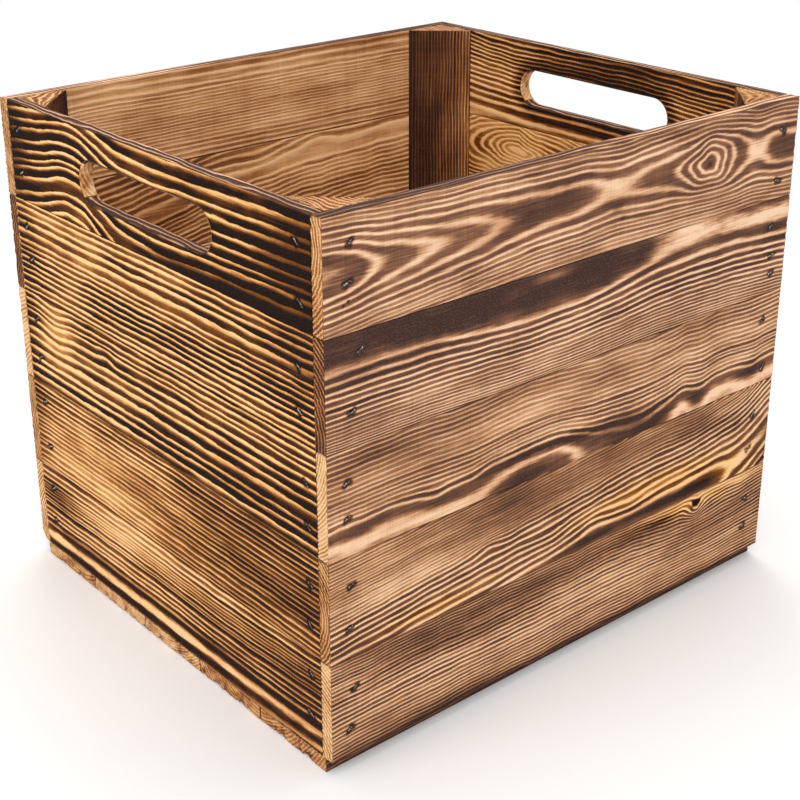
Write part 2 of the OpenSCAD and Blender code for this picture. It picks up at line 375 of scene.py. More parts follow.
def plankGrid(length, high, thick, rows, along, bend=.8):
    # A section loop, down the outer face, round the lower edge, up the inner face and round the upper
    # edge, carried along the board; each end closes with a grid between the two faces. Returns u
    # (along), v (down), w (out of the outer face), the quads, facing (1 outside, -1 inside) and sawn.
    face = np.linspace(bend, high - bend, rows)
    deep, drawn, turn = boardEdge(thick, bend)
    loopV = np.concatenate([face, high - drawn, face[::-1], drawn[::-1]])
    loopW = np.concatenate([0 * face, -deep, 0 * face - thick, -deep[::-1]])
    loopF = np.concatenate([0 * face + 1, turn, 0 * face - 1, turn[::-1]])
    count, edge = len(loopV), len(deep)
    numbers = np.arange(len(along) * count).reshape(len(along), count)
    u, v = np.repeat(along, count), np.tile(loopV, len(along))
    w, facing = np.tile(loopW, len(along)), np.tile(loopF, len(along))
    sawn = 0 * u
    quads = [gridQuads(numbers, closed=True)]
    top = numbers.size
    for station, ring in ((0, numbers[0]), (-1, numbers[-1])):
        cap = np.zeros((rows, edge + 2), int)
        cap[:, 0] = ring[:rows]
        cap[:, -1] = ring[rows + edge:2 * rows + edge][::-1]
        cap[-1, 1:-1] = ring[rows:rows + edge]
        cap[0, 1:-1] = ring[2 * rows + edge:][::-1]
        cap[1:-1, 1:-1] = top + np.arange((rows - 2) * edge).reshape(rows - 2, edge)
        top += (rows - 2) * edge
        side = gridQuads(cap)
        quads.append(side if station == 0 else side[:, ::-1])
        u = np.concatenate([u, np.full((rows - 2) * edge, along[station])])
        v = np.concatenate([v, np.repeat(face[1:-1], edge)])
        w = np.concatenate([w, -np.tile(deep, rows - 2)])
        facing = np.concatenate([facing, np.zeros((rows - 2) * edge)])
        sawn = np.concatenate([sawn, np.ones((rows - 2) * edge)])
    sawn[numbers[[0, -1]]] = 1
    # the ends' arrises: the section draws in over the rounding
    away, bow = np.minimum(u, length - u), arris[-1]
    inset = bow - np.sqrt(np.maximum(bow**2 - np.maximum(bow - away, 0)**2, 0))
    v, w = np.clip(v, inset, high - inset), np.clip(w, inset - thick, -inset)
    return u, v, w, np.concatenate(quads), facing, sawn


def holedGrid(length, high, thick, hole, bend=.8):
    # A board with a long rounded hole, as one ring-shaped grid: one parameter runs round the board's
    # outline, the other from there over the outer face, through the hole, back over the inner face
    # and round the edge. The hole's point is centre + radius * (outline - centre) / |outline - centre|,
    # with the centre the nearest point of the hole's middle line.
    side = np.concatenate([arris, np.linspace(1, high - 1, hole["side"]), high - arris[::-1]])
    level = stations(length, 26, hole["fine"], hole["coarse"])
    outlineU = np.concatenate([level[:-1], 0 * side[:-1] + length, level[::-1][:-1], 0 * side[:-1]])
    outlineV = np.concatenate([0 * level[:-1], side[:-1], 0 * level[:-1] + high, side[::-1][:-1]])
    midU = np.clip(outlineU, length / 2 - hole["reach"], length / 2 + hole["reach"])
    away = np.hypot(outlineU - midU, outlineV - hole["v"])
    holeU = midU + hole["radius"] * (outlineU - midU) / away
    holeV = hole["v"] + hole["radius"] * (outlineV - hole["v"]) / away
    gap, lip = np.hypot(outlineU - holeU, outlineV - holeV), hole["lip"]
    # shares of the way from the outline to the hole, finer beside the outline, and the round corners
    share = np.concatenate([np.linspace(0, .3, hole["near"])[1:], np.linspace(.3, 1, hole["far"])[1:]])
    deep, drawn, edgeFacing = (part[::-1][:, None] for part in boardEdge(thick, bend))
    lipDeep, lipDrawn, lipFacing = (part[:, None] for part in boardEdge(thick, lip))
    faceIn = bend + np.concatenate([[0], share])[:, None] * np.maximum(gap - bend - lip, .1)
    full = 0 * gap
    distance = np.concatenate([faceIn, gap - lip + (lip - lipDrawn), faceIn[::-1], drawn + full])
    depth = np.concatenate([0 * faceIn, full - lipDeep, 0 * faceIn - thick, full - deep])
    facing = np.concatenate([0 * faceIn + 1, lipFacing + full, 0 * faceIn - 1, edgeFacing + full])
    inside = np.concatenate([0 * faceIn, 1 + 0 * lipDeep + full, 0 * faceIn, 0 * deep + full])
    u = outlineU + (holeU - outlineU) / gap * distance
    v = outlineV + (holeV - outlineV) / gap * distance
    numbers = np.arange(u.size).reshape(u.shape)
    numbers = np.concatenate([numbers, numbers[:1]])
    u, v, depth, facing, inside = (part.ravel() for part in (u, v, depth, facing, inside))
    # the hole's round ends cut across the fibres, and so do the board's own ends
    midU = np.clip(u, length / 2 - hole["reach"], length / 2 + hole["reach"])
    endOn = np.abs(u - midU) / np.maximum(np.hypot(u - midU, v - hole["v"]), 1)
    sawn = np.where(inside > .5, smooth(.45, .8, endOn), ((u < .01) | (u > length - .01)) * 1.)
    return u, v, depth, gridQuads(numbers, closed=True), facing, sawn


# Boards

wear = {
    "relief": .35,        # mm, depth of a brushed-out band
    "serration": .45,     # mm, how far the soft bands draw in at a sawn end
    "serrated": 1.6,      # mm from the end that they do so over
    "pitDepth": .8,       # mm, dent round a staple
    "pitReach": 1.6,      # mm
    # painted shade: the ring round a staple is darkened for the shade of its dent
    "pitShade": .75,          # darker ring round a staple
    "pitShadeReach": 2.9,     # mm
    "boreDepth": 1.1,     # mm, small hole without a staple
    "fineContrast": .56,  # share of the contrast left where the rings are narrow
    "charLevels": .6,     # share of the contrast lost in full char
    "edgeBurn": .2,       # darker arrises
    "holeBurn": .5,       # darker rim of the hand hole
    "longSide": .86,      # burn of its long sides
    "chips": 2.2,         # mm, broken edge of a floor board's end
}


def finishOf(grain, seed, u, v):
    # burn, gold and contrast of one face of a board
    down = boardHigh - v if grain.get("flip") else v
    burn = grain["burn"] + hills(grain.get("patches", ()), u, down) + .05 * waver(u, v, seed + 50)
    gold = grain.get("gold", 0) + hills(grain.get("amber", ()), u, down)
    return burn, gold, grain.get("contrast", .8) + hills(grain.get("plain", ()), u, down)


def pitStaples(pits, facing, u, v, w, burn):
    # the outer face dented round each staple, unevenly along the wire, and painted shade darkening the
    # ring round the dent
    front = facing > .5
    for pitU, pitV, lean, long in pits:
        du, dv = u - pitU, v - pitV
        alongWire = np.clip(du * np.cos(lean) - dv * np.sin(lean), -long, long)
        far = np.hypot(du - alongWire * np.cos(lean), dv + alongWire * np.sin(lean))
        uneven = .85 + .35 * np.sin(1.7 * alongWire + 5 * pitV)
        w = w - wear["pitDepth"] * (smooth(wear["pitReach"], .6, far) * front * uneven)
        reach = wear["pitShadeReach"] + .8 * np.sin(3 * np.arctan2(dv, du) + pitU)
        burn = burn + wear["pitShade"] * smooth(reach, 1, far) * front
    return w, burn


def dressBoard(name, grain, place, surface, size, pits=(), hole=None):
    # grain, colour and wear of one board over its surface, then its mesh; place turns board
    # millimetres into world millimetres, and size is the board's length and height
    u, v, w, quads, facing, sawn = surface
    length, high = size
    outside, seed = facing > -.5, grain["seed"]
    within = grain.get("inside") or innerGrain(seed)
    skew = np.where(outside, grain.get("skew", .5), within.get("skew", .5))
    ring = np.where(outside, countRings(grain, u, v, w), countRings(within, u, v, w))
    nextRing = np.where(outside, countRings(grain, u, v + .5, w), countRings(within, u, v + .5, w))
    ring = np.where(sawn > .5, endRings(seed, v, w), ring)
    dark, coarse = darkShare(ring, skew), smooth(.5, .22, np.abs(nextRing - ring) / .5)
    w = w - facing * wear["relief"] * dark * coarse
    away = np.minimum(u, length - u)
    inwards = np.where(u < length / 2, 1, -1)
    u = u + inwards * wear["serration"] * dark * smooth(wear["serrated"], 0, away)

    faces = zip(finishOf(grain, seed, u, v), finishOf(within, seed, u, v))
    burn, gold, contrast = (np.where(outside, outer, inner) for outer, inner in faces)
    contrast = contrast * (wear["fineContrast"] + (1 - wear["fineContrast"]) * coarse)
    contrast = contrast * (1 - wear["charLevels"] * smooth(.7, 1, burn))
    rim = smooth(.7, .2, np.abs(facing)) * (v < grain.get("rimDown", high / 2)) * (1 - sawn)
    # streaks along the edges: partly the rings that an edge cuts, partly painted sheen on the charred
    # edge
    lines = 1.4 - w * .24 + .4 * waver(u, 3 * w, seed + 9)      # the few rings that an edge cuts
    endBurnAndShade = .06 * waver(5 * v, 9 * w, seed + 5)
    if "chips" in grain:
        broken = smooth(0, .7, waver(7 * v, u, seed + 3))
        w = w - wear["chips"] * (smooth(4, 0, away) * smooth(-5, 0, w) * broken)
        # where the end is chipped it is darkened: painted shade in the broken hollows
        endBurnAndShade = .4 * broken * smooth(-9, 0, w) + .22 * waver(5 * v, 9 * w, seed + 5)
    # the edges take their own burn, the pink colours and these streaks: dark char with painted sheen
    if "rim" in grain:
        burn = burn + rim * (through(grain["rim"], u) - burn)
        gold, ring = gold * (1 - rim), np.where(rim > .5, lines, ring)
        contrast = contrast + rim * (grain.get("rimContrast", .7) - contrast)
    burn = burn + wear["edgeBurn"] * smooth(1, .4, np.abs(facing)) * (1 - rim) * (1 - sawn)
    burn = np.where(sawn > .5, grain.get("end", .35) + endBurnAndShade, burn)
    contrast = np.where(sawn > .5, grain.get("endContrast", .48), contrast)

    if hole:
        # the flame licks round the hand hole: its long sides are char, its ends stay sawn wood
        midU = np.clip(u, length / 2 - hole["reach"], length / 2 + hole["reach"])
        past = np.hypot(u - midU, v - hole["v"]) - hole["radius"]
        reach = np.where(outside, grain.get("halo", 2), within.get("halo", 5))
        burn = burn + wear["holeBurn"] * smooth(1, .1, past / reach) * (sawn < .5)
        mottle = (past < 1) * (sawn > .5) * (away > 20)
        burn = burn + mottle * (.3 * waver(7 * v, 12 * w, seed + 6) - .02)
        contrast = contrast * (1 - .5 * mottle)
        # its long sides take pink char and the edge streaks: char with painted sheen
        longSide = (past < 1) & (sawn < .5)
        burn, gold = np.where(longSide, wear["longSide"], burn), np.where(longSide, 0, gold)
        ring = np.where(longSide, lines, ring)
    # each small hole is dented and darkened: the darkening is painted shade in the hole
    for holeU, holeV, radius in grain.get("holes", ()):
        bore = smooth(radius + .5, .3 * radius, np.hypot(u - holeU, v - holeV)) * (facing > .5)
        w, burn = w - wear["boreDepth"] * bore, burn + .9 * bore
    for cornerU, cornerV, cornerW, leanU, leanV, leanW, cut in grain.get("broken", ()):
        # a broken corner: what lies past a plane that leans so is pulled back to it
        far = (u - cornerU) * leanU + (v - cornerV) * leanV + (w - cornerW) * leanW
        bite = np.maximum(far + cut + .5 * waver(9 * u, 5 * (v + w), seed + 4), 0)
        u, v, w = u - bite * leanU, v - bite * leanV, w - bite * leanW
    w, burn = pitStaples(pits, facing, u, v, w, burn)

    finish = np.clip(burn, 0, 1.3), np.clip(gold, 0, 1), np.clip(contrast, .1, 1.2)
    values = {
        "ring": ring,
        "finish": np.stack(finish, -1),
        "band": np.stack([skew, sawn, 0 * u + seed], -1),
        "grainSpace": np.stack([u + seed * 37, v + seed * 71, w], -1),
    }
    pieceName = name.replace("board", "plank").replace("corner_post", "batten")
    addPiece(pieceName, place(u, v, w), quads, values, wood, name)


def innerGrain(seed):
    # the inner face of a board: narrow rings, lightly flamed; every third board is cut near the heart
    first, last = 2.5 + seed % 4, 13 + seed * 5 % 9
    grain = {"seed": seed + 100, "burn": .19 + seed * 7 % 5 * .03, "gold": .35 + seed * 3 % 4 * .1,
             "contrast": .5 + seed % 2 * .1, "sway": .8}
    if seed % 3:
        return {**grain, "rings": [(0, 0), (22, first + 3), (boardHigh, last + 6)]}
    return {**grain, "heart": [(0, 20 + seed * 11 % 24), (375, 38 - seed * 5 % 16)],
            "depth": [(0, 4), (110, 15 + first), (240, 6), (375, 17)],
            "rings": [(0, 0), (8, 1), (14, 2), (20, 3.4), (28, 6), (40, 10), (80, 22)]}


def boardPlace(node, right, down, out):
    # the node's box gives the board's corner and size in millimetres
    low, high = (np.array(corner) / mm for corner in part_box(node))
    right, down, out = np.array(right), np.array(down), np.array(out)
    corner = np.where(right + down - out > 0, low, high)
    size = [float(np.abs((high - low) @ axis)) for axis in (right, down, out)]
    return size, lambda u, v, w: corner + u[:, None] * right + v[:, None] * down + w[:, None] * out


def staplePits(left, right, start, length, high):
    # (from the corner, down or up, lean) of each staple to its place on the board, lean and length
    pits = []
    for fromRight, group in ((False, left), (True, right)):
        for fromCorner, down, lean in group:
            u, v, tilt = start + fromCorner + 3, down if down > 0 else high + down, radians(lean)
            # the dent bares only part of the wire, more towards one of its ends
            slide, long = .9 * np.sin(7 * u + 3 * down), 1.5 + .4 * np.sin(11 * u)
            fromLeft = length - u if fromRight else u
            pits.append((fromLeft + slide * np.cos(tilt), v - slide * np.sin(tilt), tilt, long))
    return pits


# Staples of each row of boards, (from the corner, down, lean): mm beyond start from the board's end, mm
# down from its top, or up from its foot where negative, and degrees
longStaples = {
    "left": [[[4.5, 16.5, 50], [3, -26.5, 20]], [[10.5, 11, 35], [5.5, -20, 20]],
             [[2, 19, 20], [.5, -22.5, 20]], [[2, 18, 15], [1, -19, 25]],
             [[4, 20, 30], [2, -18.5, 35]]],
    "right": [[[2.5, 19, -35], [2.5, -11.5, -15]], [[4.5, 17.5, 25], [2.5, -25.5, 10], [2, -13, 10]],
              [[5, 18, 30], [.5, -10.5, 50]], [[5.5, 21.5, 60], [7.5, -16.5, 25]],
              [[5.5, 21.5, -20], [6, -20, 30]]],
    "start": 9,
}
endStaples = {
    "left": [[[3, 17.5, 35], [3.5, -18, 30]], [[3, 17.5, 40], [6, -24, 30]],
             [[5, 17, 30], [5.5, -19, 25]], [[5, 13.5, 25], [7, -17, 20]],
             [[5, 15.5, 35], [4.5, -23, 30]]],
    "right": [[[4, 17, -40], [2, -14.5, -40]], [[4, 21, -45], [4, -17, -30]],
              [[.5, 22.5, -45], [0, -15.5, -40]], [[0, 19, -35], [0, -18, -55]],
              [[.5, 13, -45], [2, -23.5, -30]]],
    "start": 5.4,
}

# Grain of each board, in mm along it and down it from its upper left corner. burn runs from 0 for bare
# wood to 1 for char, gold from 0 for pink to 1 for golden, the pink partly painting the glare on the
# front and back walls; contrast is that of the rings, sway their unevenness, skew the dark's place in a
# ring, and turn how fast they slant through the board.
# heart and depth: (along, down) and (along, deep) of the heart line; rings: (distance, count)
# drift: (along, mm) that rings without a heart sink, by tilt more below
# lines: places of the light lines, each line mm wide
# bends, patches, amber, plain: hills (along, down, half length, half height, rise) that move the rings
# and change burn, gold and contrast; knots: the same with the rings that they take away
# rim: (along, burn) on the upper edge, rimContrast how strongly its streaks show, partly painted sheen;
# end: burn of the sawn ends; holes: (along, down, radius)
frontBoards = [
    {"seed": 1, "burn": .4, "contrast": .68, "sway": .5, "end": .44,
     "heart": [(0, 31), (100, 29), (150, 27), (210, 27), (290, 26), (375, 30)],
     "depth": [(0, 3), (20, 8.5), (35, 12.5), (52, 14.3), (72, 16.2), (100, 18.2), (118, 19.7),
               (150, 21.4), (185, 22), (207, 23.4), (240, 22), (265, 21.5), (318, 21.5), (338, 23.3),
               (352, 22), (375, 21.5)],
     "rings": [(0, 0), (12.5, 1), (16.2, 2), (19.7, 3), (23.4, 4), (26.5, 5), (28.8, 6), (31.1, 7),
               (33, 8), (34.8, 9), (37, 10)], "knots": [(291, 27, 18.5, 13, 3)],
     "bends": [(291, 50, 50, 12, -2)], "holes": [(16, 46, .6), (13, 48, .5)],
     "patches": [(150, 27, 60, 12, .16), (262, 26, 26, 18, .16), (318, 26, 14, 16, .2),
                 (360, 28, 20, 10, .2), (300, 4, 120, 5, .12), (207, 27, 22, 8, -.1),
                 (291, 27, 9, 7, -.1), (60, 55, 90, 10, -.06), (336, 27, 12, 8, -.12),
                 (211, 39, 2.4, 1.8, .35), (216, 45, 3, 1.6, .3), (291.5, 28, 1.3, 1.2, .7)],
     "rim": [(0, .95), (150, .8), (260, .5), (375, .3)]},
    {"seed": 2, "burn": .41, "contrast": .86, "sway": .5, "end": .82,
     "heart": [(0, 4), (200, 4), (300, 6), (375, 10)],
     "depth": [(0, 15.5), (40, 16), (100, 12), (140, 5), (160, 1), (180, 5), (215, 14), (250, 20),
               (280, 22), (375, 22.5)],
     "rings": [(0, .3), (10, .48), (18, .66), (22, 1), (26.4, 2), (30.5, 3), (33.7, 4), (37, 5),
               (40, 6), (43, 7), (45.8, 8), (48, 9), (50, 10), (52, 11), (54, 12), (56, 13), (57.5, 14),
               (59, 15), (62, 17)],
     "patches": [(50, 6, 110, 12, .5), (190, 9, 66, 11.5, .5), (161, 4.2, 19, 2.8, -.55),
                 (310, 12, 60, 9, -.08), (20, 30, 40, 30, .16), (350, 25, 40, 14, .1),
                 (160, 56, 200, 9, -.1)]},
    {"seed": 3, "burn": .38, "gold": .1, "contrast": .74, "sway": .9, "end": .16,
     "heart": [(0, 66), (375, 66)],
     "depth": [(0, 15), (60, 15), (110, 15.5), (130, 10), (150, 6), (170, 9), (184, 15), (196, 19),
               (220, 21.5), (255, 21.5), (270, 18.5), (283, 14.5), (292, 17.5), (301, 18), (311, 14.5),
               (324, 14), (338, 16.5), (350, 18), (364, 15.5), (375, 15)],
     "rings": [(0, 0), (17.5, 1), (25.5, 2), (28.8, 3), (31.4, 4), (33.9, 5), (36.4, 6), (38.6, 7),
               (41.5, 8), (44.3, 9), (47, 10), (50, 11), (53, 12), (56, 13), (59, 14), (62, 15),
               (66, 16.5)],
     "patches": [(152, 60, 25, 6, .36), (165, 46.5, 60, 3.2, .4), (215, 50, 26, 4.5, .36),
                 (243, 56, 30, 7, .48), (296, 55, 9, 7, .45), (350, 52, 15, 6, .35),
                 (40, 8, 60, 10, .18), (230, 30, 120, 12, -.06), (60, 52, 60, 4, .2),
                 (281, 57, 7, 5, -.25), (318, 58, 14, 6, -.2)],
     "bends": [(40, 50, 12, 8, 2), (75, 48, 10, 8, -2), (115, 44, 10, 8, 2)],
     "plain": [(188, 8, 200, 22, -.32), (60, 24, 60, 12, -.15)]},
    {"seed": 4, "burn": .37, "gold": .2, "contrast": .82, "sway": .8, "end": .5,
     "heart": [(0, 84), (150, 72), (250, 62), (320, 58), (350, 50), (375, 36)],
     "depth": [(0, 0), (200, 2), (240, 7), (281, 8), (318, 7), (338, 11.5), (356, 12.5), (375, 13)],
     "rings": [(0, 0), (12, 1), (17.2, 2), (22.2, 3), (27, 4), (31, 5), (35, 6), (38.8, 7), (42.5, 8),
               (45.5, 9), (48, 10), (50.2, 11), (52.4, 12), (54.4, 13), (56.4, 14), (58.4, 15),
               (60.4, 16), (64.4, 18)],
     "patches": [(160, 10, 110, 13, .26), (276, 57, 46, 4, .6), (200, 59, 26, 3, .4),
                 (258, 44, 60, 5, -.32), (60, 30, 60, 9, -.2), (20, 55, 30, 10, .1),
                 (300, 10, 60, 12, .1), (374, 58, 12, 8, .4), (350, 46, 20, 10, -.14),
                 (150, 56, 26, 5, -.25)],
     "bends": [(115, 32, 12, 6, 3), (165, 44, 16, 8, -2.5), (205, 50, 14, 8, 3), (240, 46, 18, 8, -3),
               (290, 50, 22, 8, 2)], "plain": [(150, 10, 170, 18, -.3)],
     "amber": [(262, 43, 70, 10, .9), (75, 56, 40, 5, .7), (330, 56, 40, 9, .7)]},
    {"seed": 5, "burn": .41, "gold": .2, "contrast": .84, "sway": .9, "end": .26,
     "knots": [(304, 6, 6, 5, 1.1)], "rings": [(0, 0), (8, 4), (30, 12.5), (42, 16.5), (63, 25)],
     "bends": [(304, 22, 55, 16, -6), (304, 11, 12, 7, -3)],
     "patches": [(120, 10, 110, 11, .26), (304, 6, 3.2, 2.8, 2.4), (304, 6, 14, 7, -.35),
                 (268, 8, 14, 2.5, .35), (335, 6, 12, 2, .3), (345, 24, 70, 12, .22),
                 (205, 36, 120, 12, -.18), (190, 63.5, 240, 3, .5), (70, 60, 60, 5, .25),
                 (300, 4, 40, 5, -.3), (345, 5, 20, 4, -.3), (250, 12, 26, 8, .24)],
     "amber": [(300, 5, 60, 6, 1)]},
]
# the wide patch at 312 on each board darkens the wall towards the front corner: painted shade; the right
# wall takes it too, at its back end
leftBoards = [
    {"seed": 11, "burn": .63, "gold": .95, "contrast": 1.1, "sway": .3, "end": .35, "skew": .82,
     "turn": 1.5, "tilt": 1 / 110, "line": 3.3, "rimContrast": 1.15,
     "drift": [(0, 11), (35, 6.5), (72, 0), (88, 1.5), (104, 7.5), (126, 14), (155, 16.5), (220, 15.5),
               (312, 14)],
     "lines": [-19, -12, -5, 1.5, 6.8, 14, 20, 25.5, 29.5, 36, 45, 51, 58, 66, 74, 82],
     "patches": [(0, 30, 26, 40, .35), (312, 34, 46, 40, .32), (80, 60, 36, 8, -.3),
                 (230, 59, 90, 5, .4), (112, 22, 50, 30, -.16), (200, 2, 90, 4, .1)],
     "rim": [(0, .95), (100, .72), (200, .8), (312, 1)],
     "inside": {"seed": 16, "burn": .45, "gold": .7, "contrast": .9, "rings": [(0, 0), (63, 16)]}},
    {"seed": 12, "burn": .47, "gold": .9, "contrast": 1, "sway": .4, "end": .35, "skew": .82,
     "rings": [(0, 0), (4, 1), (9, 2), (14, 3), (20, 4), (27, 5), (30.8, 6), (36.5, 7.5), (43, 9),
               (47, 10), (51, 11), (56, 12), (60, 13), (64, 14)],
     "patches": [(0, 30, 20, 40, .3), (312, 20, 60, 40, .32), (150, 42, 60, 12, .14),
                 (130, 10, 90, 16, -.1), (50, 48, 30, 14, -.24), (240, 57, 60, 8, -.14),
                 (70, 12, 40, 8, -.16)], "plain": [(62, 14, 50, 14, -.2), (50, 50, 30, 14, -.2)]},
    {"seed": 13, "burn": .49, "gold": .9, "contrast": 1.05, "sway": .4, "end": .35, "skew": .82,
     "rings": [(0, 0), (4.5, 1), (9, 2), (12.5, 3), (18.5, 4), (24.5, 5), (30.5, 6), (37.5, 7),
               (45.5, 8), (51, 9), (57.5, 10), (64, 11)],
     "bends": [(37, 20, 16, 22, -3.5), (102, 17, 8, 6, 2)],
     "patches": [(0, 30, 12, 40, .3), (312, 45, 90, 22, .28), (40, 18, 22, 20, -.36),
                 (50, 44, 50, 14, -.2), (200, 50, 70, 10, .14)], "plain": [(42, 18, 26, 20, -.35)]},
    {"seed": 14, "burn": .4, "gold": .85, "contrast": .72, "sway": .5, "end": .35, "skew": .4,
     "plain": [(90, 40, 110, 22, -.3)],
     "rings": [(0, -.8), (2.8, 0), (6.2, 1), (10.8, 2), (14.2, 3), (18, 4), (21.8, 5), (27.2, 6.5),
               (33.5, 8.5), (38.8, 10), (42.8, 11), (45.8, 12), (50.5, 13), (55.2, 14), (58.8, 15),
               (61.5, 16), (65, 17)],
     "patches": [(312, 24, 130, 50, .3), (70, 50, 60, 10, -.3), (60, 24, 50, 12, -.14),
                 (130, 12, 30, 5, -.25), (0, 30, 12, 40, .2), (30, 36, 30, 5, .1)]},
    {"seed": 15, "burn": .44, "gold": .8, "contrast": .82, "sway": .5, "end": .35, "skew": .4,
     "drift": [(0, 2), (150, 0), (240, -.5), (312, -3.5)],
     "rings": [(-3, -1), (2, 0), (6.8, 1), (10.5, 2), (13.2, 3), (15.5, 4), (17.8, 5), (20.8, 6),
               (24.2, 7), (26.5, 8), (31.5, 9), (35.5, 10), (39, 11), (43, 11.9), (47, 12.45),
               (51, 12.92), (53.5, 13.04), (56, 13.2), (59, 13.55), (63, 14)],
     "patches": [(312, 30, 100, 24, .3), (20, 22, 26, 16, .3), (150, 6, 90, 8, -.24),
                 (95, 14, 50, 14, -.24), (150, 45.5, 220, 2.8, .45), (140, 53, 160, 4, -.1),
                 (130, 61, 200, 3.5, .45), (60, 38, 60, 4, -.15)], "plain": [(110, 12, 80, 12, -.25)]},
]


def otherWall(boards, shift, insides):
    # the wall that faces away: the same family of grain turned upside down, with other seeds
    others = [{**board, "seed": board["seed"] + shift, "flip": True, "holes": ()} for board in boards]
    for board, inside in zip(others, insides):
        board["inside"] = inside
    return others


# the inside walls are burnt lightly, partly painted light: their burn is set low to brighten the shaded
# inside of the crate
backInside = [
    {"seed": 30, "burn": .22, "gold": .5, "contrast": .38, "sway": .35,
     "rings": [(0, 0), (8, 1.5), (16, 4.5), (28, 10), (42, 16), (63, 22)],
     "patches": [(150, 0, 150, 5, .2), (20, 30, 50, 40, .08)]},
    {"seed": 31, "burn": .24, "gold": .6, "contrast": .5, "sway": 1.4,
     "drift": [(0, -4), (45, 0), (110, 2), (175, 7), (230, 14), (290, 26), (375, 40)],
     "rings": [(-45, -9), (-25, -5), (0, 0), (9, .7), (22, 4), (40, 9), (63, 15)],
     "bends": [(130, 8, 14, 9, 5), (185, 12, 20, 9, -4)],
     "patches": [(290, 20, 80, 40, .22), (215, 6, 60, 6, .12), (140, 14, 90, 14, -.16)]},
]
rightInside = [
    {"seed": 32, "burn": .32, "gold": .85, "contrast": .8, "sway": .7, "halo": 12,
     "drift": [(0, 6), (150, 0), (240, 0), (280, -3), (312, -9)],
     "rings": [(-8, -2), (0, 0), (12, 4), (30, 9), (44, 12), (52, 13), (62, 14), (70, 15)],
     "patches": [(130, 4, 130, 12, .55), (268, 59, 60, 4, -.4), (60, 40, 60, 20, .16),
                 (190, 57, 60, 4, .35), (290, 30, 36, 40, -.1)]},
    {"seed": 33, "burn": .19, "gold": 1, "contrast": .66, "sway": 2, "turn": .1,
     "plain": [(227, 19, 40, 26, -.3)], "heart": [(0, 30), (140, 24), (227, 19), (312, 22)],
     "depth": [(0, 10), (150, 9), (205, 4), (227, 0), (250, 5), (280, 14), (312, 22)],
     "rings": [(0, 0), (9, 2.3), (18, 4.6), (30, 9), (50, 16)], "knots": [(227, 19, 24, 16, 2.5)],
     "patches": [(295, 30, 26, 40, .2), (227, 19, 30, 20, -.12)]},
]
backBoards = otherWall(frontBoards, 20, backInside)
backBoards[4]["broken"] = [(375, 63, 0, .6, .6, .53, 3.4)]    # corner, lean of the plane, mm cut off
rightBoards = otherWall(leftBoards, 20, rightInside)

# the walls seen in the photograph get the finer meshes: rows down a face, steps at its ends and between
seen, unseen = {"rows": 76, "fine": .85}, {"rows": 44, "fine": 1.3, "coarse": 6}
longWall = {"slot": "long_wall_boards", "staples": longStaples}
endWall = {"slot": "end_wall_boards", "staples": endStaples}
walls = {
    "front": {**longWall, **seen, "coarse": 3.6, "boards": frontBoards, "right": (1, 0, 0)},
    "left": {**endWall, **seen, "coarse": 4, "boards": leftBoards, "right": (0, -1, 0)},
    "back": {**longWall, **unseen, "boards": backBoards, "right": (-1, 0, 0)},
    "right": {**endWall, **unseen, "boards": rightBoards, "right": (0, 1, 0)},
}
grip = {
    "v": 32.5, "reach": 55.5, "radius": 13, "lip": 1.2,    # mm: middle, half its middle line, rounding
    "side": 56, "fine": .95, "coarse": 3.4, "near": 22, "far": 16,    # steps of the board's grid
}
for side, wall in walls.items():
    for row, grain in enumerate(wall["boards"]):
        node = f"{side}_board_{row + 1}"
        out = (wall["right"][1], -wall["right"][0], 0)
        (length, high, thick), place = boardPlace(node, wall["right"], (0, 0, -1), out)
        staples = wall["staples"]
        pits = staplePits(staples["left"][row], staples["right"][row], staples["start"], length, high)
        if side in ("left", "right") and row == 0:
            surface, hole = holedGrid(length, high, thick, grip), grip
        else:
            along = stations(length, 26, wall["fine"], wall["coarse"])
            surface, hole = plankGrid(length, high, thick, wall["rows"], along), None
        dressBoard(node, grain, place, surface, (length, high), pits, hole)
    print(side, "wall done")

# Floor boards: seen from below, the outer face is the underside
# rim darkens the floor boards' long edges almost to black: painted shade, for the edge that lies back
# under the walls
floorBoard = {
    "burn": .4, "gold": .3, "contrast": .7, "endContrast": .3, "chips": True,
    "rim": [(0, .98), (375, 1.05)], "rimDown": 99,
}
floorEnds = (.5, .46, .3, .24, .42)    # burn of each board's sawn ends
for row, end in enumerate(floorEnds):
    node = f"floor_board_{row + 1}"
    (length, high, thick), place = boardPlace(node, (1, 0, 0), (0, 1, 0), (0, 0, -1))
    grain = {**floorBoard, "seed": 61 + row, "end": end,
             "rings": [(0, 0), (20, 4 + row % 3), (boardHigh, 15 + row % 2 * 5)],
             "patches": [(60 + 60 * row, 30, 60, 30, .15)]}
    surface = plankGrid(length, high, thick, 34, stations(length, 20, 2, 7))
    dressBoard(node, grain, place, surface, (length, high))
print("floor done")

# Corner posts: a plank folded into the corner. Its outer face is the slanted one, and the inner face
# runs along both walls
post = {
    "leg": 33, "nose": .8, "thick": 9,    # mm; the last is only the depth of the folded plank
    "rows": 36, "bend": .3,
    "grain": {"burn": .9, "gold": .6, "contrast": .62, "end": .45, "sway": .5, "turn": .4,
              "rings": [(0, 0), (45, 19)],
              "patches": [(150, 47, 300, 23, -.42)]},    # less burnt beside the end wall
}
slantLength = float(np.hypot(post["leg"] - post["nose"], post["leg"] - post["nose"]))


